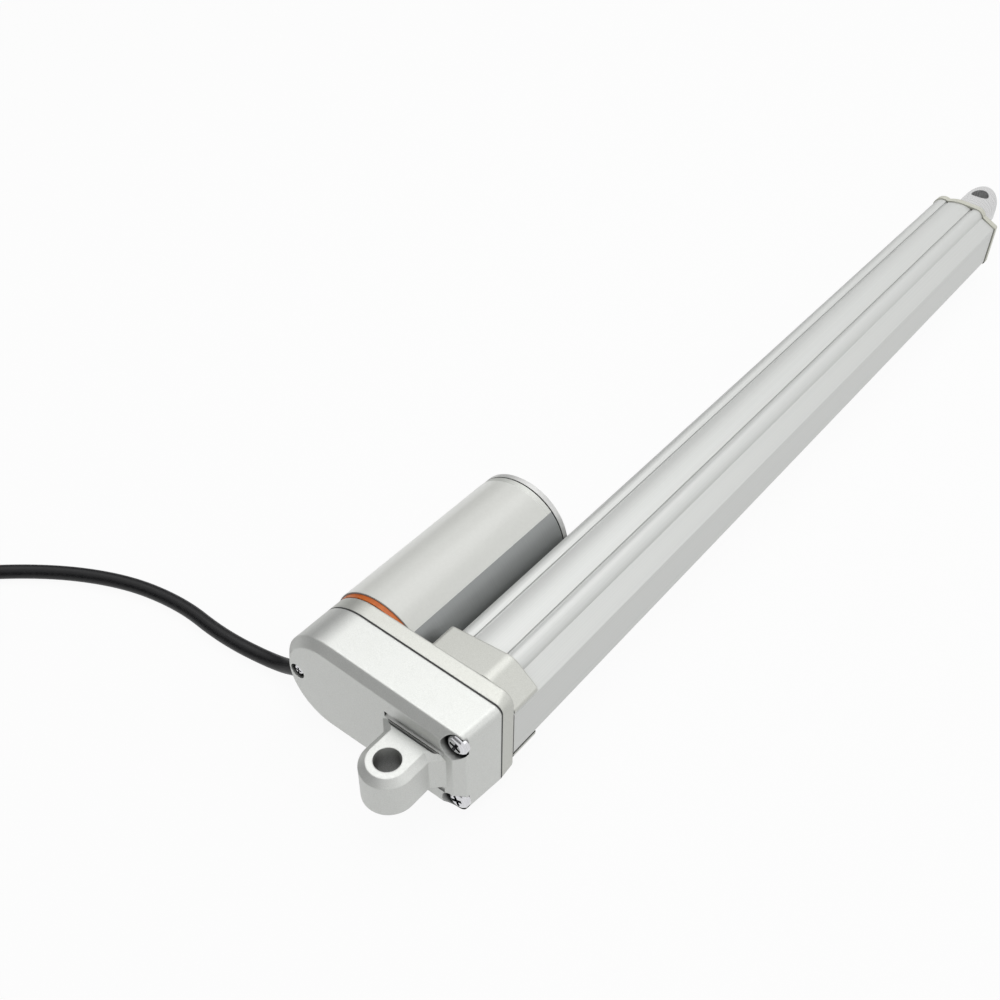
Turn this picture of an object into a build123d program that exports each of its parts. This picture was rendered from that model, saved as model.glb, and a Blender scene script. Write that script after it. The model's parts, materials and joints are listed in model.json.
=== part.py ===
from build123d import *
import math
import os

# Linear actuator, millimetres. The rear eye's hole centre is the origin, +X runs along the stroke
# towards the rod end, +Y towards the motor, and +Z is parallel to both eye holes.

# stroke and the two eyes
STROKE = 300.0
CLOSED_EXTRA = 105.0
EYE_TO_EYE = STROKE + CLOSED_EXTRA
EYE_HOLE_R = 3.9
EYE_R = 8.0
EYE_TOP_R = 5.95
EYE_HALF_THICK = 7.7
EYE_CREASE_Z = 5.75
EYE_TOP_BACK_X = 9.25
ROD_EYE_HOLE_R = 3.9

# the motor stands beside the tube, and the housing's round end is a step smaller than the motor
TUBE_R = 15.0
MOTOR_R = 18.0
MOTOR_TUBE_GAP = 0.5
HOUSING_STEP = 0.4
MOTOR_Y = TUBE_R + MOTOR_TUBE_GAP + MOTOR_R
HOUSING_END_R = MOTOR_R - HOUSING_STEP

# gearbox housing outline, seen along the stroke
HOUSING_SIDE_Y = -17.4
HOUSING_HALF_H = 16.4
HOUSING_CORNER_R = 2.6
REAR_SIDE_IN = 1.2
PLATE_CROWN = 0.6
PLATE_CORNER_R = 4.8

# gearbox housing along the stroke
REAR_X = 10.3
CHAMFER_X = 2.5
CHAMFER_IN = 2.65
EDGE_R = 0.6
GASKET_X = 26.2
GASKET_T = 0.6
PLATE_T = 5.1
COLLAR_L = 10.6
WALL = 2.0
BACK_WALL = 2.4

# gussets at the rear eye's root and the groove above them
FLARE_X = 7.0
GROOVE_R = 1.1
GROOVE_HALF_W = 10.5

# housing screws
SCREW_Y = -13.4
SCREW_Z = 12.1
POCKET_R = 4.0
POCKET_FLOOR_X = 14.0
HEAD_R = 3.3
HEAD_H = 2.3
SHANK_R = 1.9
SCREW_BOSS_R = 3.6
SCREW_LENGTH = 15.4
TIP_SCREW_IN = 5.8
TIP_POCKET_R = 2.6
TIP_HEAD_R = 1.95
TIP_HEAD_H = 1.5
TIP_SHANK_R = 1.25

# outer tube profile
RIDGE_Y = 7.5
RIDGE_Z = 10.8
RIDGE_R = 3.7
VALLEY_R = 0.5
SIDE_HALF_H = 8.3
SIDE_TOP_Y = -10.6
SIDE_TOP_Z = 11.8
SIDE_CORNER_R = 0.7
BORE_R = 11.2
CHANNEL_R = 1.35
KEY_W = 3.2
KEY_DEPTH = 1.3
CHAMBER_WALL = 1.7
TUBE_TO_EYE = 28.7
TUBE_END_X = EYE_TO_EYE - TUBE_TO_EYE

# front end cap
CAP_T = 3.4
CAP_LIP = 0.45
SIDE_GAP = 0.7
CAP_SCREW_HEAD_R = 2.4
CAP_SCREW_HEAD_H = 1.5
CAP_SCREW_L = 14.0

# rod
ROD_R = 8.5
ROD_BORE_R = 6.2
JOINT_TO_EYE = 26.4
ROD_JOINT_X = EYE_TO_EYE - JOINT_TO_EYE
PLUG_L = 12.0
BUSH_L = 13.0
WIPER_T = 2.0
WIPER_W = 1.8

# running clearances, radial
RUN_GAP = 0.05
SLIDE_GAP = 0.06
FREE_GAP = 0.35

# lead screw
SPINDLE_R = 4.0
GEAR_SEAT_R = 3.0
JOURNAL_R = 2.2
NUT_X = 45.0
NUT_L = 15.5
SPINDLE_TIP_X = NUT_X + NUT_L + STROKE + 0.9
NUT_SOCKET = 8.0
BEARING_R = 8.0
BEARING_W = 5.0
BEARING_X = 28.4

# gear train: motor pinion, cluster gear, spindle gear
PINION_TEETH = 11
WHEEL_TEETH = 40
CLUSTER_TEETH = 12
SPINDLE_TEETH = 34
STAGE_2_CENTRES = 18.2
SHIFT_1 = 0.35
SHIFT_2 = 0.3
PRESSURE = math.radians(20.0)
BACKLASH = 0.07
WHEEL_X = 14.9
WHEEL_W = 3.6
SPINDLE_GEAR_X = 19.4
SPINDLE_GEAR_W = 6.0
CLUSTER_END_X = 25.9
PIN_R = 1.5

# motor
MOTOR_X = 33.5
GROOVE_W = 0.5
END_RIM_L = 2.3
END_PLUG_L = 3.0
CAN_T = 1.2
SEAL_W = 2.0
SPIGOT_L = 2.2
SHAFT_R = 1.6
BELL_T = 2.6
MOTOR_SCREW_Z = 8.0
MOTOR_SCREW_R = 1.1
MAGNET_T = 1.9
AIR_GAP = 0.5
STACK_X = 50.0
STACK_L = 32.0
ARMATURE_SLOTS = 5
COIL_HEAD_L = 5.0
COMMUTATOR_R = 4.2
COMMUTATOR_L = 7.0
COMMUTATOR_GAP = 1.0
CARD_T = 1.4
CARD_GAP = 0.3
BRUSH_L = 6.0
BRUSH_W = 4.0
BRUSH_H = 7.2
LABEL_T = 0.1
LABEL_GAP = 0.03
LABEL_FROM = -62.0
LABEL_TO = 134.0
LABEL_FRONT_IN = 0.2
LABEL_END_IN = 2.1

# power cable, lying on the floor under the motor
CABLE_R = 2.4
FLOOR_Z = -MOTOR_R
CABLE_EXIT_X = 16.4
CABLE_DOWN = 28.0
GROMMET_R = 3.2
GROMMET_OUT = 1.6
CABLE_CORNERS = [(13.4, 84.0), (14.6, 106.0), (9.0, 130.0), (-6.0, 155.6), (-34.6, 183.5)]
COIL_R = 26.4
COIL_HALF_W = 7.2
COIL_H = 9.0
LEAD_LIFT = 0.6
SLEEVE_R = 2.9
SLEEVE_X0 = 36.0
SLEEVE_L = 10.0
WIRE_R = 0.8
WIRE_L = 34.0
FERRULE_L = 8.0

# circuit board with the end switches
BOARD_IN = 6.9
BOARD_Y = MOTOR_Y - BOARD_IN
BOARD_Z = 9.4
BOARD_W = 8.0
BOARD_H = 6.0

plate_x = GASKET_X + GASKET_T
plate_front = plate_x + PLATE_T
collar_front = plate_front + COLLAR_L
tube_l = TUBE_END_X - plate_front
cluster_y = STAGE_2_CENTRES
stage_1_centres = MOTOR_Y - cluster_y
module_1 = 2 * stage_1_centres / (PINION_TEETH + WHEEL_TEETH)
module_2 = 2 * STAGE_2_CENTRES / (CLUSTER_TEETH + SPINDLE_TEETH)
spigot_r = HOUSING_END_R - SEAL_W
stack_end = STACK_X + STACK_L
commutator_x = stack_end + COIL_HEAD_L + COMMUTATOR_GAP
card_x = commutator_x + COMMUTATOR_L
groove_x = card_x + CARD_T + CARD_GAP + END_PLUG_L
motor_end_x = groove_x + GROOVE_W + END_RIM_L
cap_front = TUBE_END_X + CAP_T
cable_z = FLOOR_Z + CABLE_R


def across(x, y=0.0, z=0.0):
    """The plane square to the stroke at x, with its own axes along Y and Z."""
    return Plane((x, y, z), x_dir=(0, 1, 0), z_dir=(1, 0, 0))


def bar(r, x0, x1, y=0.0, z=0.0):
    """A round bar along the stroke."""
    return extrude(across(x0, y, z) * Circle(r), x1 - x0)


def ring(r_out, r_in, x0, x1, y=0.0, z=0.0):
    """A round bar with a bore."""
    return extrude(across(x0, y, z) * (Circle(r_out) - Circle(r_in)), x1 - x0)


def rounded_hull(circles):
    """The outline stretched round circles (y, z, r), named anticlockwise."""
    normals = []
    for (ya, za, ra), (yb, zb, rb) in zip(circles, circles[1:] + circles[:1]):
        gap = math.hypot(yb - ya, zb - za)
        normals.append(math.atan2(zb - za, yb - ya) - math.acos((ra - rb) / gap))
    edges = []
    for i, (y, z, r) in enumerate(circles):
        a0, a1 = normals[i - 1], normals[i]
        while a1 < a0:
            a1 += 2 * math.pi
        at = [(y + r * math.cos(a), z + r * math.sin(a)) for a in (a0, (a0 + a1) / 2, a1)]
        edges.append(ThreePointArc(*at))
        yn, zn, rn = circles[(i + 1) % len(circles)]
        edges.append(Line(at[2], (yn + rn * math.cos(a1), zn + rn * math.sin(a1))))
    return make_face(edges)


def housing_outline(inset=0.0, side_in=0.0, crown=0.0, corner=HOUSING_CORNER_R):
    """The gearbox outline: round about the motor, square beside the tube."""
    r = max(corner - inset, 1.0)
    y = HOUSING_SIDE_Y + side_in + inset + r
    z = HOUSING_HALF_H + crown - inset - r
    return rounded_hull([(MOTOR_Y, 0, HOUSING_END_R - inset), (y, z, r), (y, -z, r)])


def edges_at(body, x):
    """The edges that lie in the plane across the stroke at x."""
    return body.edges().filter_by_position(Axis.X, x - 0.001, x + 0.001)


def slab(face_a, x_a, face_b, x_b):
    """A straight-sided body between two outlines of the same kind."""
    return loft([across(x_a) * face_a, across(x_b) * face_b], ruled=True)


def eye_face(r, flare_x, back_x):
    """A half round about the hole, its sides straight to flare_x and flared at 45 degrees to back_x."""
    wide = r + back_x - flare_x
    return make_face([
        ThreePointArc((0, r), (-r, 0), (0, -r)),
        Line((0, -r), (flare_x, -r)),
        Line((flare_x, -r), (back_x, -wide)),
        Line((back_x, -wide), (back_x, wide)),
        Line((back_x, wide), (flare_x, r)),
        Line((flare_x, r), (0, r)),
    ])


def rear_eye():
    """The clevis eye with its gussets, and a sloped band round its top and bottom faces."""
    middle = eye_face(EYE_R, FLARE_X, REAR_X + WALL)
    top_flare_x = FLARE_X + (EYE_R - EYE_TOP_R) * (math.sqrt(2) - 1)
    body = extrude(Plane.XY.offset(-EYE_CREASE_Z) * middle, 2 * EYE_CREASE_Z)
    for side in (1, -1):
        low = Plane.XY.offset(side * EYE_CREASE_Z) * middle
        top = Plane.XY.offset(side * EYE_HALF_THICK) * eye_face(EYE_TOP_R, top_flare_x, EYE_TOP_BACK_X)
        body += loft([low, top], ruled=True)
    return body


def tip_screw_y():
    return MOTOR_Y + HOUSING_END_R - TIP_SCREW_IN


def rear_cover():
    """The cast rear half of the gearbox, with the clevis eye."""
    waist_x = REAR_X + CHAMFER_X
    shell = slab(housing_outline(side_in=REAR_SIDE_IN), waist_x, housing_outline(), GASKET_X)
    back = housing_outline(CHAMFER_IN, REAR_SIDE_IN)
    shell += slab(back, REAR_X, housing_outline(side_in=REAR_SIDE_IN), waist_x)
    shell = fillet(edges_at(shell, waist_x), EDGE_R)
    shell = fillet(edges_at(shell, REAR_X), EDGE_R)
    room_x = REAR_X + BACK_WALL
    room = extrude(across(room_x) * housing_outline(WALL, REAR_SIDE_IN), GASKET_X - room_x)
    for side in (1, -1):
        room -= bar(POCKET_R + 1.2, room_x, POCKET_FLOOR_X + WALL, SCREW_Y, side * SCREW_Z)
        room -= bar(SCREW_BOSS_R, room_x, GASKET_X, SCREW_Y, side * SCREW_Z)
    room -= bar(TIP_HEAD_R + 1.2, room_x, GASKET_X, tip_screw_y())
    room -= bar(PIN_R + 1.6, room_x, room_x + 1.6, cluster_y)
    room -= bar(JOURNAL_R + 2.2, room_x, room_x + 2.0)
    shell -= room
    shell += rear_eye()
    groove = Cylinder(GROOVE_R, 2 * GROOVE_HALF_W, rotation=(90, 0, 0))
    shell -= Pos(REAR_X - GROOVE_R / 3, 0, EYE_HALF_THICK + GROOVE_R / 2) * groove
    shell -= Pos(REAR_X - GROOVE_R / 3, 0, -EYE_HALF_THICK - GROOVE_R / 2) * groove
    shell -= Cylinder(EYE_HOLE_R, 4 * EYE_HALF_THICK)
    for side in (1, -1):
        shell -= bar(POCKET_R, -EYE_R, POCKET_FLOOR_X, SCREW_Y, side * SCREW_Z)
        shell -= bar(SHANK_R + FREE_GAP / 2, POCKET_FLOOR_X, GASKET_X, SCREW_Y, side * SCREW_Z)
    shell -= bar(TIP_POCKET_R, REAR_X - 1, REAR_X + TIP_HEAD_H + 0.4, tip_screw_y())
    shell -= bar(TIP_SHANK_R + 0.1, REAR_X, GASKET_X, tip_screw_y())
    shell -= bar(PIN_R, room_x - 1.0, room_x + 1.6, cluster_y)
    shell -= bar(JOURNAL_R + RUN_GAP, room_x - 1.2, room_x + 2.0)
    shell -= cable_bore(GROMMET_R)
    return shell


def housing_gasket():
    """The black gasket between the two housing halves."""
    face = housing_outline() - housing_outline(WALL, REAR_SIDE_IN)
    for side in (1, -1):
        face += housing_outline() & Pos(SCREW_Y, side * SCREW_Z) * Circle(SCREW_BOSS_R)
        face -= Pos(SCREW_Y, side * SCREW_Z) * Circle(SHANK_R + FREE_GAP / 2)
    face += Pos(tip_screw_y(), 0) * Circle(TIP_HEAD_R + 1.2)
    face -= Pos(tip_screw_y(), 0) * Circle(TIP_SHANK_R + 0.1)
    return extrude(across(GASKET_X) * face, GASKET_T)


def collar_outline():
    """The collar follows the tube's profile and rises over the outer ridge."""
    foot_r, ridge_r, end_r = 1.0, RIDGE_R + 1.8, 1.7
    half = [
        (HOUSING_SIDE_Y + foot_r, SIDE_HALF_H + 1.5, foot_r),
        (-RIDGE_Y + 0.4, RIDGE_Z + 0.5, ridge_r),
        (TUBE_R - 2.8, RIDGE_Z + 1.9, end_r),
    ]
    lower = [(y, -z, r) for y, z, r in half]
    return rounded_hull(lower + half[::-1])


def front_housing():
    """The cast front half: a plate, and an open collar that grips the tube."""
    rim = housing_outline(crown=PLATE_CROWN, corner=PLATE_CORNER_R)
    body = slab(housing_outline(), plate_x, rim, plate_front)
    body = fillet(edges_at(body, plate_front), EDGE_R)
    collar = extrude(across(plate_front) * collar_outline(), COLLAR_L)
    collar = fillet(edges_at(collar, collar_front), EDGE_R)
    collar -= extrude(across(plate_front) * tube_outline(), COLLAR_L)
    window = Pos(plate_front + COLLAR_L / 2, HOUSING_SIDE_Y, 0) * Box(COLLAR_L, 6.0, 2 * SIDE_HALF_H + 1.8)
    body += collar - window
    body -= bar(BEARING_R, BEARING_X, plate_front)
    body -= bar(SPINDLE_R + 1.2, plate_x, BEARING_X)
    body -= bar(spigot_r, plate_front - SPIGOT_L, plate_front, MOTOR_Y)
    body -= bar(SHAFT_R + 2.6, plate_x, plate_front, MOTOR_Y)
    for side in (1, -1):
        body -= bar(SHANK_R, plate_x, plate_x + 4.2, SCREW_Y, side * SCREW_Z)
        body -= bar(MOTOR_SCREW_R, plate_x, plate_front, MOTOR_Y, side * MOTOR_SCREW_Z)
    body -= bar(TIP_SHANK_R, plate_x, plate_x + 2.0, tip_screw_y())
    body -= bar(PIN_R, plate_x, plate_x + 2.0, cluster_y)
    return body


def pan_screw(head_r, head_h, shank_r, length):
    """A pan-head screw with a cross recess, its shank along +X from the head's seat at x = 0."""
    dome = head_h * 0.45
    profile = [
        Line((0, 0), (length, 0)), Line((length, 0), (length, shank_r * 0.7)),
        Line((length, shank_r * 0.7), (length - shank_r * 0.5, shank_r)),
        Line((length - shank_r * 0.5, shank_r), (0, shank_r)), Line((0, shank_r), (0, head_r)),
        Line((0, head_r), (-head_h + dome, head_r)),
        ThreePointArc((-head_h + dome, head_r), (-head_h + dome * 0.3, head_r * 0.8),
                      (-head_h, head_r * 0.35)),
        Line((-head_h, head_r * 0.35), (-head_h, 0)), Line((-head_h, 0), (0, 0)),
    ]
    body = revolve(make_face(profile), Axis.X)
    arm = Box(head_h * 1.1, head_r * 1.15, head_r * 0.3)
    return body - Pos(-head_h, 0, 0) * (arm + Rot(90, 0, 0) * arm)


def housing_screws():
    one = pan_screw(HEAD_R, HEAD_H, SHANK_R, SCREW_LENGTH)
    return Compound([Pos(POCKET_FLOOR_X, SCREW_Y, side * SCREW_Z) * Rot(25 * side, 0, 0) * one
                     for side in (1, -1)])


def tip_screw():
    length = plate_x + 1.8 - (REAR_X + TIP_HEAD_H + 0.4)
    one = pan_screw(TIP_HEAD_R, TIP_HEAD_H, TIP_SHANK_R, length)
    return Pos(REAR_X + TIP_HEAD_H + 0.4, tip_screw_y(), 0) * one


def tube_outline(grow=0.0):
    """The tube's outside: a round body, four screw ridges, and a flat side with two sloped shoulders."""
    r = SIDE_CORNER_R + grow
    y0 = HOUSING_SIDE_Y + SIDE_CORNER_R
    side = [(y0, SIDE_HALF_H - SIDE_CORNER_R * 0.4, r), (SIDE_TOP_Y, SIDE_TOP_Z - SIDE_CORNER_R, r)]
    low = [(y, -z, q) for y, z, q in side]
    face = rounded_hull(low + side[::-1]) + Circle(TUBE_R + grow)
    for sy in (1, -1):
        for sz in (1, -1):
            face += Pos(sy * RIDGE_Y, sz * RIDGE_Z) * Circle(RIDGE_R + grow)
    return face


def valley_points():
    """Where each ridge leaves the round body, on the side of the middle."""
    reach = math.hypot(RIDGE_Y, RIDGE_Z)
    spread = math.acos((TUBE_R ** 2 + reach ** 2 - RIDGE_R ** 2) / (2 * TUBE_R * reach))
    a = math.atan2(RIDGE_Z, RIDGE_Y) + spread
    y, z = (TUBE_R + VALLEY_R * 0.3) * math.cos(a), (TUBE_R + VALLEY_R * 0.3) * math.sin(a)
    return [(sy * y, sz * z) for sy in (1, -1) for sz in (1, -1)]


def tube_section():
    """The extruded section: bore, keyway, four screw channels and two wire chambers."""
    face = tube_outline()
    for y, z in valley_points():
        face -= Pos(y, z) * Circle(VALLEY_R)
    face -= Circle(BORE_R)
    face -= Pos(-BORE_R - KEY_DEPTH / 2 + 0.6, 0) * Rectangle(KEY_DEPTH + 1.2, KEY_W)
    for sy in (1, -1):
        for sz in (1, -1):
            face -= Pos(sy * RIDGE_Y, sz * RIDGE_Z) * Circle(CHANNEL_R)
    ring_r = BORE_R + CHAMBER_WALL
    y0 = HOUSING_SIDE_Y + CHAMBER_WALL + 0.6
    for sz in (1, -1):
        corners = [(y0, 2.9), (y0 + 4.4, 2.9), (y0 + 4.4, 8.9), (y0, 6.9)]
        room = rounded_hull([(y, sz * z, 0.6) for y, z in corners][::sz])
        face -= room - Circle(ring_r)
    return face


def outer_tube():
    return extrude(across(plate_front) * tube_section(), tube_l)


def front_cap():
    """The end cap: it follows the tube's profile, and stands off it along the flat side."""
    face = tube_outline(CAP_LIP)
    for side in (1, -1):
        face += rounded_hull([(0, 0, TUBE_R + CAP_LIP), (-RIDGE_Y, side * RIDGE_Z, RIDGE_R + CAP_LIP)])
    face -= Circle(ROD_R + FREE_GAP)
    body = extrude(across(TUBE_END_X) * face, CAP_T)
    front_edge = body.faces().sort_by(Axis.X)[-1].outer_wire().edges()
    body = chamfer(front_edge, 0.4)
    slot_y = HOUSING_SIDE_Y - CAP_LIP
    body -= Pos(TUBE_END_X + SIDE_GAP / 2, slot_y, 0) * Box(SIDE_GAP, 2.4, 2 * SIDE_HALF_H + 0.6)
    body -= bar(ROD_R + WIPER_W, cap_front - WIPER_T, cap_front)
    for y, z in ridge_centres():
        body -= bar(CHANNEL_R + 0.1, TUBE_END_X, cap_front, y, z)
        body -= bar(CAP_SCREW_HEAD_R + 0.2, cap_front - CAP_SCREW_HEAD_H, cap_front, y, z)
    return body


def ridge_centres():
    return [(sy * RIDGE_Y, sz * RIDGE_Z) for sy in (1, -1) for sz in (1, -1)]


def cap_screws():
    one = pan_screw(CAP_SCREW_HEAD_R, CAP_SCREW_HEAD_H, CHANNEL_R, CAP_SCREW_L)
    seat = cap_front - CAP_SCREW_HEAD_H
    return Compound([Pos(seat, y, z) * Rot(0, 180, 0) * one for y, z in ridge_centres()])


def rod_wiper():
    return ring(ROD_R + WIPER_W, ROD_R + SLIDE_GAP, cap_front - WIPER_T, cap_front)


def guide_bush():
    return ring(BORE_R, ROD_R + SLIDE_GAP, TUBE_END_X - BUSH_L, TUBE_END_X)


def rod_tube():
    return ring(ROD_R, ROD_BORE_R, NUT_X + NUT_L - NUT_SOCKET, ROD_JOINT_X)


def rod_end():
    """The rod's solid end: round bar, rounded in plan about the hole, with a plug in the tube."""
    bar_end = bar(ROD_R, ROD_JOINT_X, EYE_TO_EYE + ROD_R)
    keep = extrude(Plane.XY.offset(-ROD_R) * (Pos(EYE_TO_EYE, 0) * Circle(ROD_R)), 2 * ROD_R)
    keep += Pos((ROD_JOINT_X + EYE_TO_EYE) / 2, 0, 0) * Box(EYE_TO_EYE - ROD_JOINT_X, 2 * ROD_R, 2 * ROD_R)
    body = bar_end & keep
    body += bar(ROD_BORE_R, ROD_JOINT_X - PLUG_L, ROD_JOINT_X)
    return body - Pos(EYE_TO_EYE, 0, 0) * Cylinder(ROD_EYE_HOLE_R, 4 * ROD_R)


def drive_nut():
    """The nut: a socket for the rod, a guide rim in the bore and a key in its slot."""
    body = bar(BORE_R - SLIDE_GAP, NUT_X, NUT_X + NUT_L)
    y_out = BORE_R + KEY_DEPTH - 0.25
    body += Pos(NUT_X + NUT_L / 2, -y_out / 2, 0) * Box(NUT_L, y_out, KEY_W - 2 * SLIDE_GAP)
    body -= bar(ROD_R, NUT_X + NUT_L - NUT_SOCKET, NUT_X + NUT_L)
    return body - bar(SPINDLE_R + RUN_GAP, NUT_X, NUT_X + NUT_L)


def spindle():
    """The lead screw with its journal, gear seat and bearing shoulder."""
    room_x = REAR_X + BACK_WALL
    body = bar(JOURNAL_R, room_x - 0.8, WHEEL_X + WHEEL_W)
    body += bar(GEAR_SEAT_R, WHEEL_X + WHEEL_W, BEARING_X)
    body += bar(SPINDLE_R, BEARING_X, SPINDLE_TIP_X)
    body += bar(SPINDLE_R + 1.0, BEARING_X + BEARING_W, BEARING_X + BEARING_W + 1.5)
    return chamfer(body.faces().sort_by(Axis.X)[-1].edges(), 0.8)


def bearing_outer():
    """The outer race, pressed into the plate."""
    return ring(BEARING_R, BEARING_R - 1.3, BEARING_X, BEARING_X + BEARING_W)


def bearing_inner():
    return ring(SPINDLE_R + 1.3, SPINDLE_R, BEARING_X, BEARING_X + BEARING_W)


def bearing_shield():
    """The closed ring between the races, which stands for balls and shields."""
    gap = 0.3
    return ring(BEARING_R - 1.3, SPINDLE_R + 1.3 + gap, BEARING_X + 0.4, BEARING_X + BEARING_W - 0.4)


def gear_face(module, teeth, shift, bore_r, phase):
    """An involute spur gear, a tooth centred on the phase angle."""
    pitch_r = module * teeth / 2
    base_r = pitch_r * math.cos(PRESSURE)
    tip_r = pitch_r + module * (1 + shift)
    root_r = pitch_r - module * (1.25 - shift)
    thick = module * (math.pi / 2 + 2 * shift * math.tan(PRESSURE)) - BACKLASH
    inv = math.tan(PRESSURE) - PRESSURE
    steps = 4
    start_r = max(base_r, root_r)
    flank = []
    for i in range(steps):
        r = start_r + (tip_r - start_r) * i / (steps - 1)
        a = math.acos(base_r / r)
        flank.append((r, thick / (2 * pitch_r) + inv - (math.tan(a) - a)))
    if root_r < base_r:
        flank = [(root_r, flank[0][1])] + flank
    points = []
    for tooth in range(teeth):
        mid = phase + 2 * math.pi * tooth / teeth
        for r, half in flank:
            points.append((r * math.cos(mid - half), r * math.sin(mid - half)))
        for r, half in reversed(flank):
            points.append((r * math.cos(mid + half), r * math.sin(mid + half)))
    return make_face(Polyline(*points, close=True)) - Circle(bore_r)


def motor_pinion():
    """A tooth of the pinion points at the cluster gear."""
    face = gear_face(module_1, PINION_TEETH, SHIFT_1, SHAFT_R, math.pi)
    return extrude(across(WHEEL_X - 0.4, MOTOR_Y) * face, WHEEL_W + 0.8)


def cluster_gear():
    """The large wheel meets the motor pinion, and the small one the spindle gear."""
    bore = PIN_R + RUN_GAP
    wheel = gear_face(module_1, WHEEL_TEETH, -SHIFT_1, bore, math.pi / WHEEL_TEETH)
    small = gear_face(module_2, CLUSTER_TEETH, SHIFT_2, bore, math.pi)
    body = extrude(across(WHEEL_X, cluster_y) * wheel, WHEEL_W)
    return body + extrude(across(WHEEL_X + WHEEL_W, cluster_y) * small, CLUSTER_END_X - WHEEL_X - WHEEL_W)


def cluster_pin():
    return bar(PIN_R, REAR_X + BACK_WALL - 1.0, plate_x + 2.0, cluster_y)


def spindle_gear():
    face = gear_face(module_2, SPINDLE_TEETH, -SHIFT_2, GEAR_SEAT_R, math.pi / SPINDLE_TEETH)
    return extrude(across(SPINDLE_GEAR_X) * face, SPINDLE_GEAR_W)


def motor_can():
    """The drawn steel can."""
    body = ring(MOTOR_R, MOTOR_R - CAN_T, MOTOR_X, groove_x, MOTOR_Y)
    front = ring(MOTOR_R - CAN_T, spigot_r - 1.5, MOTOR_X, MOTOR_X + CAN_T, MOTOR_Y)
    return body + front


def motor_end_cap():
    """The end cap: a turned rim, a narrow neck in the can and a shallow bearing boss."""
    body = bar(MOTOR_R - CAN_T, groove_x - END_PLUG_L, groove_x, MOTOR_Y)
    body += bar(MOTOR_R - 0.8, groove_x, groove_x + GROOVE_W, MOTOR_Y)
    body += bar(MOTOR_R, groove_x + GROOVE_W, motor_end_x, MOTOR_Y)
    body = chamfer(body.faces().sort_by(Axis.X)[-1].edges(), 0.5)
    return body - bar(SHAFT_R + RUN_GAP, groove_x - END_PLUG_L, motor_end_x - 1.2, MOTOR_Y)


def motor_seal_ring():
    return ring(HOUSING_END_R, spigot_r, plate_front, MOTOR_X, MOTOR_Y)


def motor_bell():
    """The motor's front bell, seated in the plate."""
    x0 = plate_front - SPIGOT_L
    body = bar(spigot_r, x0, MOTOR_X, MOTOR_Y) + bar(spigot_r - 1.5, MOTOR_X, MOTOR_X + CAN_T, MOTOR_Y)
    body -= bar(SHAFT_R + RUN_GAP, x0, MOTOR_X + CAN_T, MOTOR_Y)
    for side in (1, -1):
        body -= bar(MOTOR_SCREW_R, x0, x0 + BELL_T, MOTOR_Y, side * MOTOR_SCREW_Z)
    return body


def motor_screws():
    one = pan_screw(2.0, 1.2, MOTOR_SCREW_R, plate_front - SPIGOT_L - plate_x + BELL_T - 0.3)
    return Compound([Pos(plate_x, MOTOR_Y, side * MOTOR_SCREW_Z) * one for side in (1, -1)])


def motor_label():
    """The bare white label, wrapped most of the way round the can."""
    under = MOTOR_R + LABEL_GAP
    face = Circle(under + LABEL_T) - Circle(under)
    a0, a1 = math.radians(LABEL_FROM), math.radians(LABEL_TO)
    gap_mid = (a0 + a1) / 2 + math.pi
    gap_half = math.pi - (a1 - a0) / 2
    reach = 2 * MOTOR_R
    fan = [(0, 0)] + [(reach * math.cos(gap_mid + gap_half * k), reach * math.sin(gap_mid + gap_half * k))
                      for k in (-1, -0.5, 0, 0.5, 1)]
    face -= make_face(Polyline(*fan, close=True))
    x0 = MOTOR_X + LABEL_FRONT_IN
    return extrude(across(x0, MOTOR_Y) * face, groove_x - LABEL_END_IN - x0)


def magnet_r():
    return MOTOR_R - CAN_T - MAGNET_T


def motor_magnets():
    """Two curved magnets against the can's wall."""
    face = Circle(MOTOR_R - CAN_T) - Circle(magnet_r())
    face -= Rectangle(3 * MOTOR_R, 9.0)
    return Compound(extrude(across(STACK_X - 2, MOTOR_Y) * face, STACK_L + 4).solids())


def armature():
    """The laminated core, with slots for the windings."""
    r = magnet_r() - AIR_GAP
    face = Circle(r)
    for i in range(ARMATURE_SLOTS):
        turn = Rot(0, 0, 360 * i / ARMATURE_SLOTS)
        face -= turn * (Pos(r * 0.62, 0) * Circle(r * 0.24) + Pos(r * 0.9, 0) * Rectangle(r * 0.4, 2.2))
    return extrude(across(STACK_X, MOTOR_Y) * (face - Circle(SHAFT_R)), STACK_L)


def windings():
    """The copper coils: bars in the slots, joined by a rounded ring at each end."""
    r = magnet_r() - AIR_GAP
    body = ring(r * 0.84, SHAFT_R + 1.5, STACK_X - COIL_HEAD_L, STACK_X, MOTOR_Y)
    body += ring(r * 0.84, SHAFT_R + 1.5, stack_end, stack_end + COIL_HEAD_L, MOTOR_Y)
    for i in range(ARMATURE_SLOTS):
        a = 2 * math.pi * i / ARMATURE_SLOTS
        y, z = MOTOR_Y + r * 0.62 * math.cos(a), r * 0.62 * math.sin(a)
        body += bar(r * 0.235, STACK_X, stack_end, y, z)
    return body


def commutator():
    return ring(COMMUTATOR_R, SHAFT_R, commutator_x, card_x, MOTOR_Y)


def motor_shaft():
    return bar(SHAFT_R, WHEEL_X - 0.4, motor_end_x - 1.6, MOTOR_Y)


def brush_card():
    """The disc that carries the two brushes."""
    body = ring(MOTOR_R - CAN_T, COMMUTATOR_R + 2.0, card_x, card_x + CARD_T, MOTOR_Y)
    for side in (1, -1):
        z = side * (COMMUTATOR_R + FREE_GAP + BRUSH_H / 2)
        body += Pos(card_x - BRUSH_L / 2, MOTOR_Y, z) * Box(BRUSH_L, BRUSH_W, BRUSH_H)
    return body


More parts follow.
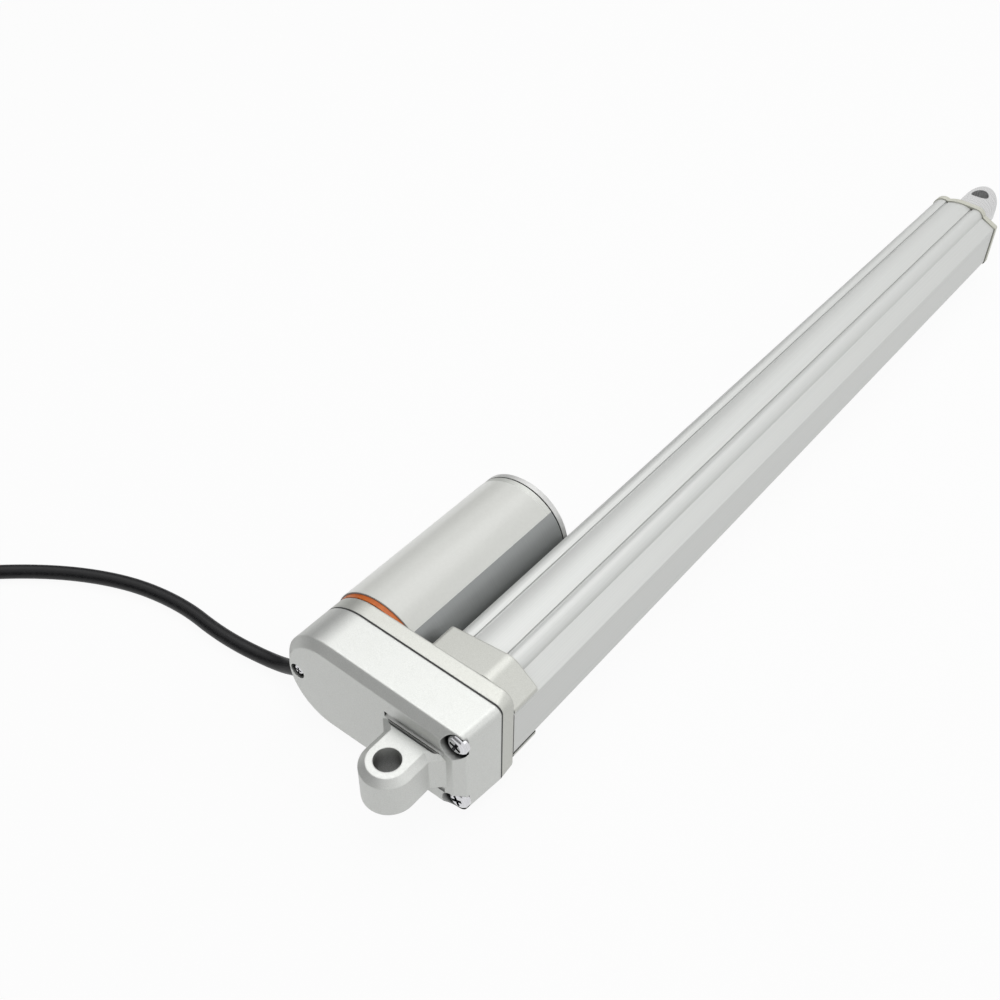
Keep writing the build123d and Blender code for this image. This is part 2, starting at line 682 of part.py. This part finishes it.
def limit_board():
    """The small circuit board with the two end switches, on the plate inside the gearbox."""
    board = Pos(plate_x - 0.8, BOARD_Y, BOARD_Z) * Box(1.6, BOARD_W, BOARD_H)
    for side in (1, -1):
        at = Pos(plate_x - 3.0, BOARD_Y + side * BOARD_W / 4, BOARD_Z)
        board += at * Box(2.8, BOARD_W * 0.4, BOARD_H * 0.8)
    return board


def cable_exit_plane(step=0.0):
    """The plane across the cable, a step beyond the housing's skin."""
    down = math.radians(CABLE_DOWN)
    reach = HOUSING_END_R + step
    at = (CABLE_EXIT_X, MOTOR_Y + reach * math.cos(down), -reach * math.sin(down))
    return Plane(at, x_dir=(1, 0, 0), z_dir=(0, math.cos(down), -math.sin(down)))


def cable_bore(r):
    """A round bar along the cable's way through the housing wall."""
    return extrude(cable_exit_plane(-WALL - REAR_SIDE_IN - 3.0) * Circle(r), WALL + REAR_SIDE_IN + 6.0)


def cable_grommet():
    """The rubber bush that holds the cable in the wall."""
    inside = -WALL - REAR_SIDE_IN - 1.2
    body = extrude(cable_exit_plane(inside) * Circle(GROMMET_R), GROMMET_OUT - inside)
    return body - extrude(cable_exit_plane(inside) * Circle(CABLE_R), GROMMET_OUT - inside)


def cable_route():
    """The corners of the cable's way: out of the grommet, down to the floor, and to the coil."""
    down = math.radians(CABLE_DOWN)
    out = cable_exit_plane(GROMMET_OUT).origin
    run = (out.Z - cable_z) / math.sin(down)
    land = (out.X, out.Y + run * math.cos(down), cable_z)
    return [tuple(out), land] + [(x, y, cable_z) for x, y in CABLE_CORNERS]


def bend_radii(points):
    """Each bend's radius from the shorter of its two runs."""
    radii = []
    for a, b, c in zip(points, points[1:], points[2:]):
        u, v = Vector(*b) - Vector(*a), Vector(*c) - Vector(*b)
        turn = math.radians(u.get_angle(v))
        radii.append(0.45 * min(u.length, v.length) / math.tan(turn / 2))
    return radii


def cable():
    """The jacket between the grommet and the coil."""
    points = cable_route()
    radii = bend_radii(points)
    print("cable bends", [round(r, 1) for r in radii])
    path = FilletPolyline(*points, radius=radii)
    start = Plane(path @ 0, z_dir=path % 0)
    body = sweep(start * Circle(CABLE_R), path=path)
    print("cable volume ratio", round(body.volume / (math.pi * CABLE_R ** 2 * path.length), 4))
    print("cable length", round(path.length, 1), "lowest", round(body.bounding_box().min.Z, 3))
    return body - cable_coil()


def coil_centre():
    """The coil's middle lies square to the cable's last run."""
    (xa, ya), (xb, yb) = CABLE_CORNERS[-2:]
    run = math.hypot(xb - xa, yb - ya)
    return xb - COIL_R * (yb - ya) / run, yb + COIL_R * (xb - xa) / run


def cable_coil():
    """The closed outer shape of the wound cable."""
    x, y = coil_centre()
    low, high = FLOOR_Z, FLOOR_Z + COIL_H
    r = CABLE_R * 0.9
    section = Pos(COIL_R, (low + high) / 2) * RectangleRounded(2 * COIL_HALF_W, COIL_H, r)
    return Pos(x, y, 0) * revolve(Plane.XZ * section, Axis.Z)


def cable_leads():
    """The cable's stripped end: a shrunk sleeve and two insulated wires with ferrules."""
    x, y = coil_centre()
    at = Plane((x, y + COIL_R + CABLE_R, cable_z + LEAD_LIFT), x_dir=(0, 1, 0), z_dir=(-1, 0, 0))
    body = extrude(at * Circle(CABLE_R), SLEEVE_X0 + SLEEVE_L)
    body += extrude(at.offset(SLEEVE_X0) * Circle(SLEEVE_R), SLEEVE_L)
    for side in (1, -1):
        wire = at.offset(SLEEVE_X0 + SLEEVE_L) * Pos(side * (WIRE_R + 0.25), 0)
        body += extrude(wire * Circle(WIRE_R), WIRE_L - FERRULE_L)
        body += extrude(at.offset(SLEEVE_X0 + SLEEVE_L + WIRE_L - FERRULE_L) * Pos(side * (WIRE_R + 0.25), 0)
                        * Circle(WIRE_R * 0.8), FERRULE_L)
    return body - cable_coil()


PARTS = {
    "rear_cover": rear_cover, "front_housing": front_housing, "housing_gasket": housing_gasket,
    "housing_screws": housing_screws, "tip_screw": tip_screw, "cable_grommet": cable_grommet,
    "outer_tube": outer_tube, "front_cap": front_cap, "cap_screws": cap_screws, "rod_wiper": rod_wiper,
    "guide_bush": guide_bush, "rod_tube": rod_tube, "rod_end": rod_end, "drive_nut": drive_nut,
    "spindle": spindle, "spindle_gear": spindle_gear, "bearing_inner": bearing_inner,
    "bearing_outer": bearing_outer, "bearing_shield": bearing_shield, "cluster_gear": cluster_gear,
    "cluster_pin": cluster_pin, "motor_pinion": motor_pinion, "motor_shaft": motor_shaft,
    "armature": armature, "windings": windings, "commutator": commutator, "motor_can": motor_can,
    "motor_end_cap": motor_end_cap, "motor_seal_ring": motor_seal_ring, "motor_bell": motor_bell,
    "motor_screws": motor_screws, "motor_label": motor_label, "motor_magnets": motor_magnets,
    "brush_card": brush_card, "limit_board": limit_board, "cable": cable, "cable_coil": cable_coil,
    "cable_leads": cable_leads,
}

os.makedirs("parts", exist_ok=True)
for name, make in PARTS.items():
    export_step(make(), f"parts/{name}.step")
print("modules", round(module_1, 4), round(module_2, 4))
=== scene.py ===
import bpy
import json
import math
import numpy as np
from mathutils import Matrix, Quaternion, Vector


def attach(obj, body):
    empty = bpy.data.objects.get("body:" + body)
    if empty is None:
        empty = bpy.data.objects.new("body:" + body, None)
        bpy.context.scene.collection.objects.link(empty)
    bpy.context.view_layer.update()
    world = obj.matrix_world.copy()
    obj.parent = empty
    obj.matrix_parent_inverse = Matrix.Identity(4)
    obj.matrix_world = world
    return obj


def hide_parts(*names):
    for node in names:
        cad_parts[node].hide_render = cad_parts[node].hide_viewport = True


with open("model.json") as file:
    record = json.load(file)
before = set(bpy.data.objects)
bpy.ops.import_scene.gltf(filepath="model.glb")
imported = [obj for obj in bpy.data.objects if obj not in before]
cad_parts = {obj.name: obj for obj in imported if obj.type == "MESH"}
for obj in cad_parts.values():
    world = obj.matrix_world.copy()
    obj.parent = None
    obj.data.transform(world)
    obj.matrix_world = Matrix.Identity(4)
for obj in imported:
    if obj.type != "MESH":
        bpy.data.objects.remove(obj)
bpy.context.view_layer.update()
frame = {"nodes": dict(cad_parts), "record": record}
nodes = frame["nodes"]
stage = bpy.context.scene
stage.view_settings.view_transform = "Standard"

# places as in the CAD model, in metres
FLOOR = -0.018
MOTOR_Y = 0.0335
LABEL_END = 0.0976
LABEL_ANGLES = (math.radians(-62.0), math.radians(134.0))

# the cable's radius, its middle's height on the floor, and the height of a layer in the grooves of one below
JACKET = 0.0024
ON_FLOOR = FLOOR + JACKET
LAYER = 0.004157


# camera

def photo_camera():
    """A 42 mm lens behind and above the rear eye, on the side away from the motor, that looks down at
    42 degrees."""
    seen = bpy.data.cameras.new("photo_camera")
    seen.lens = 42.2813
    seen.sensor_width = 36.0
    seen.clip_start = 0.01
    placed = bpy.data.objects.new("photo_camera", seen)
    placed.location = (-0.126827, -0.136212, 0.26398)
    placed.rotation_mode = "QUATERNION"
    placed.rotation_quaternion = Quaternion((0.8231515, 0.3661552, -0.1804906, -0.3946837))
    stage.collection.objects.link(placed)
    stage.camera = placed


photo_camera()


# power cable

EXIT = (0.0164, 0.050453, -0.009014)
BORE_END = (0.0164, 0.048334, -0.007887)
FLOOR_WAY = [(0.0164, 0.0630), (0.0134, 0.0840), (0.0146, 0.1060), (0.0090, 0.1300), (-0.0060, 0.1556)]
CABLE_WAY = [BORE_END, EXIT] + [(x, y, ON_FLOOR) for x, y in FLOOR_WAY]
COIL_MIDDLE = (-0.0575, 0.1633)
COIL_START = math.radians(38.5)
TURNS = 5
POINTS_PER_TURN = 16
TURN_RADII = [0.0312, 0.0264, 0.0216, 0.0240, 0.0288, 0.0288]
TURN_LAYERS = [0, 0, 0, 1, 1, 1]
RADIUS_STEP_AT = 0.86
LAYER_STEP_AT = 0.78
STEP_SPAN = 0.12
CROSSING_AT = 0.93
CROSSING_SPAN = 0.05
CROSSING_RISE = 0.00064
FIRST_CROSSING = 2
LEAD_END = (-0.0890, 0.1921, -0.0153)
LEAD_STEPS = [(-0.0680, 1.0), (-0.0765, 0.90), (-0.0830, 0.35)]


def eased(value):
    """0 below 0, 1 above 1, and between them three squares less two cubes."""
    part = np.clip(value, 0.0, 1.0)
    return part * part * (3.0 - 2.0 * part)


def coil_turns():
    """Five turns anticlockwise about the coil's middle: three on the floor from the outside in, then two on
    top from the inside out. Each turn's height and then its radius go over to the next one's near its end,
    and where a turn crosses the one below it rises by a bell of the crossing rise. The spline touches the
    middles of its polygon's sides, so the points lie further out by one over the cosine of half a step."""
    total = TURNS + (math.radians(90) - COIL_START) / math.tau
    turn = np.linspace(0.0, total, int(round(total * POINTS_PER_TURN)) + 1)
    radius = np.full_like(turn, TURN_RADII[0])
    height = np.zeros_like(turn)
    for k in range(TURNS):
        radius += (TURN_RADII[k + 1] - TURN_RADII[k]) * eased((turn - k - RADIUS_STEP_AT) / STEP_SPAN)
        rise = (TURN_LAYERS[k + 1] - TURN_LAYERS[k]) * LAYER
        height += rise * eased((turn - k - LAYER_STEP_AT) / STEP_SPAN)
    for k in range(FIRST_CROSSING, TURNS - 1):
        height += CROSSING_RISE * np.exp(-((turn - k - CROSSING_AT) / CROSSING_SPAN) ** 2)
    radius /= math.cos(math.pi / POINTS_PER_TURN)
    angle = COIL_START + math.tau * turn
    x = COIL_MIDDLE[0] + radius * np.cos(angle)
    y = COIL_MIDDLE[1] + radius * np.sin(angle)
    return np.stack([x, y, ON_FLOOR + height], axis=1).tolist()


def spline_tube(name, points, radius, sides=6):
    """A round tube of one NURBS spline of order 3 through control points, end to end. Each point holds the
    tube's radius in metres, so that the curve's box is the tube's own."""
    curve = bpy.data.curves.new(name, "CURVE")
    curve.dimensions = "3D"
    curve.bevel_depth = 1.0
    curve.bevel_resolution = sides
    curve.use_fill_caps = True
    curve.resolution_u = 10
    curve.render_resolution_u = 10
    line = curve.splines.new("NURBS")
    line.points.add(len(points) - 1)
    line.points.foreach_set("co", [v for p in points for v in (*p, 1.0)])
    line.points.foreach_set("radius", [radius] * len(points))
    line.order_u = 3
    line.use_endpoint_u = True
    made = bpy.data.objects.new(name, curve)
    stage.collection.objects.link(made)
    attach(made, "housing")
    return made


lead_way = [(x, LEAD_END[1], ON_FLOOR + LAYER * share) for x, share in LEAD_STEPS] + [LEAD_END]
power_cable = spline_tube("power_cable", CABLE_WAY + coil_turns() + lead_way, JACKET, sides=8)


# surfaces on a grid

def sheet_mesh(name, x, y, z, close_v=False):
    """A mesh over a grid of points: x, y and z are arrays of the same two sides, u down and v across. A
    closed grid joins its last column to its first."""
    rows, cols = x.shape
    u, v = np.meshgrid(np.arange(rows - 1), np.arange(cols if close_v else cols - 1), indexing="ij")
    u1, v1 = u + 1, (v + 1) % cols
    faces = np.stack([u * cols + v, u1 * cols + v, u1 * cols + v1, u * cols + v1], axis=-1).reshape(-1, 4)
    mesh = bpy.data.meshes.new(name)
    mesh.from_pydata(np.stack([x, y, z], axis=-1).reshape(-1, 3).tolist(), [], faces.tolist())
    mesh.shade_smooth()
    made = bpy.data.objects.new(name, mesh)
    stage.collection.objects.link(made)
    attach(made, "housing")
    return made


def turned(name, profile, start, along, sides=48):
    """A profile of (distance along, radius) points turned about the line from start along a direction:
    start + far * along + radius * (cos a * side + sin a * up)."""
    along = Vector(along).normalized()
    side = along.orthogonal().normalized()
    up = along.cross(side)
    far, radius = np.array(profile, float).T
    a = np.linspace(0.0, math.tau, sides, endpoint=False)
    grid = [start[i] + far[:, None] * along[i]
            + radius[:, None] * (np.cos(a)[None, :] * side[i] + np.sin(a)[None, :] * up[i]) for i in range(3)]
    return sheet_mesh(name, *grid, close_v=True)


# the cable end's profiles: distance along from the start, then radius
SLEEVE = [(-0.001, 0.0), (-0.001, 0.00245), (0.0, 0.0026), (0.001, 0.00262), (0.0075, 0.0026),
          (0.0092, 0.0024), (0.0098, 0.0021), (0.0098, 0.0)]
FERRULE = [(-0.0002, 0.0), (-0.0002, 0.00125), (0.0022, 0.00095), (0.0024, 0.0007), (0.0090, 0.00066),
           (0.0092, 0.0005), (0.0092, 0.0)]
WIRE = 0.0008
WIRE_REST = FLOOR + 0.00135


def cable_end():
    """The shrunk sleeve at the jacket's end, and two insulated wires that part and lie down to their
    ferrules."""
    pieces = [turned("end_sleeve", SLEEVE, LEAD_END, (-1, 0, 0))]
    x, y, z = LEAD_END
    for name, side in (("wire_a", 1), ("wire_b", -1)):
        way = [(x - 0.008, y + side * 0.00095, z), (x - 0.016, y + side * 0.0010, z - 0.0006),
               (x - 0.024, y + side * 0.0026, z - 0.0016), (x - 0.034, y + side * 0.0040, WIRE_REST)]
        pieces.append(spline_tube(name, way, WIRE))
        pieces.append(turned(name + "_ferrule", FERRULE, way[-1], (-1, side * 0.14, 0.02), sides=24))
    return pieces


end_pieces = cable_end()
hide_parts("cable", "cable_coil")
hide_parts("cable_leads")


# finishes

def finish_of(name, **sockets):
    """A new material whose even values sit on the surface shader's own sockets."""
    made = bpy.data.materials.new(name)
    made.use_nodes = True
    surface = made.node_tree.nodes["Principled BSDF"]
    for label, value in sockets.items():
        surface.inputs[label.replace("_", " ")].default_value = value
    return made, made.node_tree, surface


def speckle(tree, scale, stretch=(1, 1, 1), detail=2.0):
    """Noise on Object coordinates, with so many grains to the metre, drawn out by the stretch."""
    place = tree.nodes.new("ShaderNodeTexCoord")
    turn = tree.nodes.new("ShaderNodeMapping")
    turn.inputs["Scale"].default_value = stretch
    noise = tree.nodes.new("ShaderNodeTexNoise")
    noise.inputs["Scale"].default_value = scale
    noise.inputs["Detail"].default_value = detail
    tree.links.new(place.outputs["Object"], turn.inputs["Vector"])
    tree.links.new(turn.outputs["Vector"], noise.inputs["Vector"])
    return noise.outputs["Fac"]


def tint(tree, surface, factor, dark, light, low=0.35, high=0.65):
    """The base colour goes from dark to light as the factor goes from low to high."""
    ramp = tree.nodes.new("ShaderNodeValToRGB")
    ramp.color_ramp.elements[0].position = low
    ramp.color_ramp.elements[1].position = high
    ramp.color_ramp.elements[0].color = (*dark, 1)
    ramp.color_ramp.elements[1].color = (*light, 1)
    tree.links.new(factor, ramp.inputs["Fac"])
    tree.links.new(ramp.outputs["Color"], surface.inputs["Base Color"])


def vary(tree, surface, label, factor, least, most):
    """A socket's value goes from least to most as the factor goes from 0.3 to 0.7."""
    span = tree.nodes.new("ShaderNodeMapRange")
    span.inputs["From Min"].default_value = 0.3
    span.inputs["From Max"].default_value = 0.7
    span.inputs["To Min"].default_value = least
    span.inputs["To Max"].default_value = most
    tree.links.new(factor, span.inputs["Value"])
    tree.links.new(span.outputs["Result"], surface.inputs[label])


def relief(tree, surface, factor, strength, depth, edge=0.0):
    """The factor raises the surface by up to the depth, in metres. Edges are rounded to the edge radius."""
    bump = tree.nodes.new("ShaderNodeBump")
    bump.inputs["Strength"].default_value = strength
    bump.inputs["Distance"].default_value = depth
    tree.links.new(factor, bump.inputs["Height"])
    tree.links.new(bump.outputs["Normal"], surface.inputs["Normal"])
    if edge:
        soft = tree.nodes.new("ShaderNodeBevel")
        soft.samples = 4
        soft.inputs["Radius"].default_value = edge
        tree.links.new(soft.outputs["Normal"], bump.inputs["Normal"])


def paint_corner_shade(tree, surface, reach, closed, open_sky, least):
    """Painted shade: the base colour falls to its least where the sky over a point, out to the reach, is
    closed in, and is whole where it is open, so that corners, slots and pockets are darkened where shade
    falls. The share of open sky goes from closed to open_sky."""
    sky = tree.nodes.new("ShaderNodeAmbientOcclusion")
    sky.inputs["Distance"].default_value = reach
    span = tree.nodes.new("ShaderNodeMapRange")
    span.interpolation_type = "SMOOTHSTEP"
    span.inputs["From Min"].default_value = closed
    span.inputs["From Max"].default_value = open_sky
    span.inputs["To Min"].default_value = least
    span.inputs["To Max"].default_value = 1.0
    dim = tree.nodes.new("ShaderNodeVectorMath")
    dim.operation = "SCALE"
    colour = surface.inputs["Base Color"].links[0].from_socket
    tree.links.new(sky.outputs["AO"], span.inputs["Value"])
    tree.links.new(colour, dim.inputs[0])
    tree.links.new(span.outputs["Result"], dim.inputs["Scale"])
    tree.links.new(dim.outputs["Vector"], surface.inputs["Base Color"])


# grains to the metre: a casting's colour, sheen and relief, and the lines of drawn metal
CAST_GRAINS = 4200
CAST_SHEEN = 1400
CAST_RELIEF = 5200
LINES = 60

# how deep the finest relief goes, and the radius that a casting's edges are shaded with
GRAIN_DEPTH = 0.00003
LINE_DEPTH = 0.00001
CAST_EDGE = 0.0005

# painted corner shade: reach in metres, open sky where darkest, open sky where whole, share of the colour
# where darkest
CAST_PAINTED_SHADE = (0.008, 0.20, 0.68, 0.04)
SLOT_PAINTED_SHADE = (0.003, 0.15, 0.55, 0.03)
TUBE_PAINTED_SHADE = (0.006, 0.0, 1.0, 0.62)
CAN_PAINTED_SHADE = (0.004, 0.0, 0.60, 0.95)


def cast_alloy(name, dark, light, metallic=0.75):
    """Fine satin casting: bright grains on a slightly mottled skin, with shade painted dark down in its
    pockets and corners.
    """
    made, tree, surface = finish_of(name, Metallic=metallic)
    tint(tree, surface, speckle(tree, CAST_GRAINS), dark, light)
    vary(tree, surface, "Roughness", speckle(tree, CAST_SHEEN), 0.42, 0.50)
    relief(tree, surface, speckle(tree, CAST_RELIEF, detail=1.0), 0.08, GRAIN_DEPTH, CAST_EDGE)
    paint_corner_shade(tree, surface, *CAST_PAINTED_SHADE)
    return made


def drawn_metal(name, dark, light, stretch, rough=(0.24, 0.34), metallic=1.0, painted_shade=SLOT_PAINTED_SHADE):
    """Metal with fine lines along the way it was drawn or turned, with shade painted dark in its slots and
    valleys.
    """
    made, tree, surface = finish_of(name, Metallic=metallic)
    lines = speckle(tree, LINES, stretch, detail=4.0)
    tint(tree, surface, lines, dark, light)
    vary(tree, surface, "Roughness", lines, *rough)
    relief(tree, surface, lines, 0.12, LINE_DEPTH)
    paint_corner_shade(tree, surface, *painted_shade)
    return made


def moulded(name, dark, light, rough=(0.35, 0.5), scale=400, coat=0.0, shine=0.5):
    """Moulded plastic, rubber or film, with a faint unevenness."""
    made, tree, surface = finish_of(name, Coat_Weight=coat, Specular_IOR_Level=shine)
    grain = speckle(tree, scale)
    tint(tree, surface, grain, dark, light)
    vary(tree, surface, "Roughness", grain, *rough)
    relief(tree, surface, grain, 0.10, GRAIN_DEPTH)
    return made


ALONG = (0.05, 60, 60)
ROUND = (60, 0.05, 0.05)
FINISHES = {
    "cast_cover": cast_alloy("satin_casting", (0.59, 0.60, 0.58), (0.66, 0.67, 0.65)),
    "cast_front": cast_alloy("warm_casting", (0.52, 0.525, 0.49), (0.59, 0.595, 0.56)),
    # the extrusion's valleys and the can beside the tube take a milder painted shade
    "anodised": drawn_metal("anodised_extrusion", (0.66, 0.67, 0.655), (0.70, 0.71, 0.695), ALONG,
                            (0.50, 0.56), metallic=0.50, painted_shade=TUBE_PAINTED_SHADE),
    "cap_paint": cast_alloy("cap_casting", (0.64, 0.64, 0.56), (0.72, 0.72, 0.63), metallic=0.2),
    "gasket_black": moulded("gasket_black", (0.010, 0.010, 0.010), (0.022, 0.022, 0.022), (0.5, 0.65)),
    "seal_orange": moulded("seal_orange", (0.62, 0.13, 0.015), (0.74, 0.18, 0.022), (0.4, 0.5)),
    "screw_chrome": drawn_metal("plated_screw", (0.58, 0.58, 0.60), (0.72, 0.72, 0.74), ROUND, (0.12, 0.20)),
    "can_steel": drawn_metal("plated_can", (0.29, 0.30, 0.30), (0.33, 0.34, 0.34), ROUND, (0.50, 0.56),
                             metallic=0.60, painted_shade=CAN_PAINTED_SHADE),
    "label_white": moulded("bare_label", (0.85, 0.86, 0.82), (0.87, 0.88, 0.84), (0.28, 0.32), 900, coat=0.2),
    "rod_steel": drawn_metal("polished_rod", (0.62, 0.62, 0.62), (0.68, 0.68, 0.68), ROUND, (0.24, 0.30),
                             metallic=0.65),
    "steel": drawn_metal("turned_steel", (0.42, 0.43, 0.45), (0.58, 0.59, 0.61), ROUND),
    "gear_steel": drawn_metal("hobbed_steel", (0.36, 0.36, 0.37), (0.50, 0.50, 0.51), ALONG),
    "gear_plastic": moulded("acetal_gear", (0.78, 0.76, 0.70), (0.86, 0.84, 0.78)),
    "nut_plastic": moulded("acetal_nut", (0.74, 0.74, 0.70), (0.83, 0.83, 0.79)),
    "bush_plastic": moulded("filled_bush", (0.05, 0.05, 0.055), (0.09, 0.09, 0.10)),
    "copper": drawn_metal("enamelled_copper", (0.50, 0.20, 0.09), (0.72, 0.34, 0.16), ROUND, (0.2, 0.3)),
    "magnet": moulded("sintered_ferrite", (0.05, 0.05, 0.055), (0.09, 0.09, 0.095), (0.5, 0.7)),
    "board": moulded("green_board", (0.02, 0.14, 0.06), (0.03, 0.20, 0.09), (0.25, 0.35), coat=0.3),
    "card": moulded("brown_board", (0.12, 0.08, 0.05), (0.18, 0.13, 0.08)),
    "cable_black": moulded("cable_jacket", (0.004, 0.004, 0.005), (0.008, 0.008, 0.009), (0.34, 0.44), 700,
                           shine=0.30),
    "leads": moulded("wire_red", (0.40, 0.02, 0.02), (0.50, 0.03, 0.025), (0.25, 0.35)),
}
bright_rim = drawn_metal("turned_rim", (0.66, 0.66, 0.65), (0.74, 0.74, 0.73), ROUND, (0.42, 0.50),
                         metallic=0.4)
wire_dark = moulded("wire_black", (0.010, 0.010, 0.011), (0.02, 0.02, 0.022), (0.25, 0.35))
tinned = drawn_metal("tinned_ferrule", (0.60, 0.60, 0.61), (0.74, 0.74, 0.75), ROUND, (0.2, 0.3))


# the strip starts a little under the label, and the mix node's colours have these socket numbers
STRIP_UNDER = 0.0002
STRIP_COLOUR = (0.64, 0.65, 0.62)
FIRST_COLOUR = 6
SECOND_COLOUR = 7
MIXED_COLOUR = 2


def pale_strip(finish, start, least, most, colour):
    """The base colour is another one from start along the stroke, between two angles round the motor:
    least < atan2(z, y - MOTOR_Y) < most and x > start."""
    tree = finish.node_tree
    surface = tree.nodes["Principled BSDF"]
    place = tree.nodes.new("ShaderNodeTexCoord")
    split = tree.nodes.new("ShaderNodeSeparateXYZ")
    tree.links.new(place.outputs["Object"], split.inputs[0])

    def worked(operation, first, second):
        step = tree.nodes.new("ShaderNodeMath")
        step.operation = operation
        for socket, value in zip(step.inputs, (first, second)):
            if isinstance(value, float):
                socket.default_value = value
            else:
                tree.links.new(value, socket)
        return step.outputs[0]

    turn = worked("ARCTAN2", split.outputs["Z"], worked("SUBTRACT", split.outputs["Y"], MOTOR_Y))
    inside = worked("MULTIPLY", worked("GREATER_THAN", turn, least), worked("LESS_THAN", turn, most))
    inside = worked("MULTIPLY", inside, worked("GREATER_THAN", split.outputs["X"], start))
    blend = tree.nodes.new("ShaderNodeMix")
    blend.data_type = "RGBA"
    old = surface.inputs["Base Color"].links[0].from_socket
    tree.links.new(inside, blend.inputs["Factor"])
    tree.links.new(old, blend.inputs[FIRST_COLOUR])
    blend.inputs[SECOND_COLOUR].default_value = (*colour, 1)
    tree.links.new(blend.outputs[MIXED_COLOUR], surface.inputs["Base Color"])


def dress(piece, finish):
    """The piece wears one finish all over."""
    piece.data.materials.clear()
    piece.data.materials.append(finish)


pale_strip(FINISHES["can_steel"], LABEL_END - STRIP_UNDER, *LABEL_ANGLES, STRIP_COLOUR)
for part in frame["record"]["subparts"]:
    dress(nodes[part["node"]], FINISHES[part["material_slot"]])
dress(nodes["motor_end_cap"], bright_rim)
dress(power_cable, FINISHES["cable_black"])
for piece, finish in zip(end_pieces, [FINISHES["cable_black"], FINISHES["leads"], tinned, wire_dark, tinned]):
    dress(piece, finish)


# floor, backdrop and light

FLOOR_REACH = 6.0
FLOOR_GAP = 0.0001
FLOOR_GLOW = 0.94
AMBIENT = 0.40
OBJECT_MIDDLE = (0.12, 0.0, 0.0)


def floor_plane():
    """A wide pale floor: a matt white with some even white for the eye, for mirrors and for glass."""
    reach = np.array([-FLOOR_REACH, FLOOR_REACH])
    x, y = np.meshgrid(reach, reach, indexing="ij")
    plane = sheet_mesh("floor", x, y, np.full_like(x, FLOOR - FLOOR_GAP))
    made, tree, surface = finish_of("floor_white", Base_Color=(0.86, 0.86, 0.86, 1), Roughness=0.9)
    glow = tree.nodes.new("ShaderNodeEmission")
    glow.inputs["Strength"].default_value = 1.0
    blend = tree.nodes.new("ShaderNodeMixShader")
    amount = tree.nodes.new("ShaderNodeMath")
    amount.operation = "MULTIPLY"
    amount.inputs[1].default_value = FLOOR_GLOW
    tree.links.new(seen_ray(tree), amount.inputs[0])
    tree.links.new(amount.outputs[0], blend.inputs["Fac"])
    tree.links.new(surface.outputs["BSDF"], blend.inputs[1])
    tree.links.new(glow.outputs["Emission"], blend.inputs[2])
    tree.links.new(blend.outputs["Shader"], tree.nodes["Material Output"].inputs["Surface"])
    dress(plane, made)
    plane.parent = None


def seen_ray(tree):
    """1 for a ray from the camera, off a glossy surface or through glass, and 0 for the rest."""
    path = tree.nodes.new("ShaderNodeLightPath")
    seen = path.outputs["Is Camera Ray"]
    for ray in ("Is Glossy Ray", "Is Transmission Ray"):
        most = tree.nodes.new("ShaderNodeMath")
        most.operation = "MAXIMUM"
        tree.links.new(seen, most.inputs[0])
        tree.links.new(path.outputs[ray], most.inputs[1])
        seen = most.outputs[0]
    return seen


def white_world(ambient):
    """White where it is seen, and an even grey light elsewhere."""
    world = bpy.data.worlds.new("studio")
    world.use_nodes = True
    stage.world = world
    tree = world.node_tree
    soft = tree.nodes["Background"]
    soft.inputs["Color"].default_value = (1, 1, 1, 1)
    soft.inputs["Strength"].default_value = ambient
    plain = tree.nodes.new("ShaderNodeBackground")
    plain.inputs["Color"].default_value = (1, 1, 1, 1)
    blend = tree.nodes.new("ShaderNodeMixShader")
    tree.links.new(seen_ray(tree), blend.inputs["Fac"])
    tree.links.new(soft.outputs["Background"], blend.inputs[1])
    tree.links.new(plain.outputs["Background"], blend.inputs[2])
    tree.links.new(blend.outputs["Shader"], tree.nodes["World Output"].inputs["Surface"])


def softbox(name, place, aim, width, height, power):
    """A soft rectangular lamp at a place, turned to a point."""
    lamp = bpy.data.lights.new(name, "AREA")
    lamp.shape = "RECTANGLE"
    lamp.size, lamp.size_y = width, height
    lamp.energy = power
    placed = bpy.data.objects.new(name, lamp)
    placed.location = place
    placed.rotation_mode = "QUATERNION"
    placed.rotation_quaternion = (Vector(aim) - Vector(place)).to_track_quat("-Z", "Y")
    stage.collection.objects.link(placed)


def flag(name, place, aim, width, height, shade):
    """A dark card that only reflections and soft light see, so that the metal shows a darker edge of the
    room."""
    made = finish_of(name, Base_Color=(shade, shade, shade, 1), Roughness=1.0)[0]
    ends = np.array([-0.5, 0.5])
    u, v = np.meshgrid(ends * width, ends * height, indexing="ij")
    card = sheet_mesh(name, u, v, np.zeros_like(u))
    card.parent = None
    card.location = place
    card.rotation_mode = "QUATERNION"
    card.rotation_quaternion = (Vector(aim) - Vector(place)).to_track_quat("Z", "Y")
    card.visible_camera = False
    card.visible_shadow = False
    dress(card, made)


floor_plane()
white_world(AMBIENT)
softbox("overhead", (0.30, 0.20, 1.00), OBJECT_MIDDLE, 1.1, 0.9, 4.6)
softbox("front_fill", (0.40, -0.90, 0.60), OBJECT_MIDDLE, 1.2, 0.5, 1.2)
flag("rear_flag", (-0.95, 0.35, 0.36), (0.0, 0.0, 0.0), 1.8, 0.70, 0.45)
flag("far_flag", (0.35, 1.05, 0.30), (0.15, 0.0, 0.0), 2.2, 0.60, 0.16)
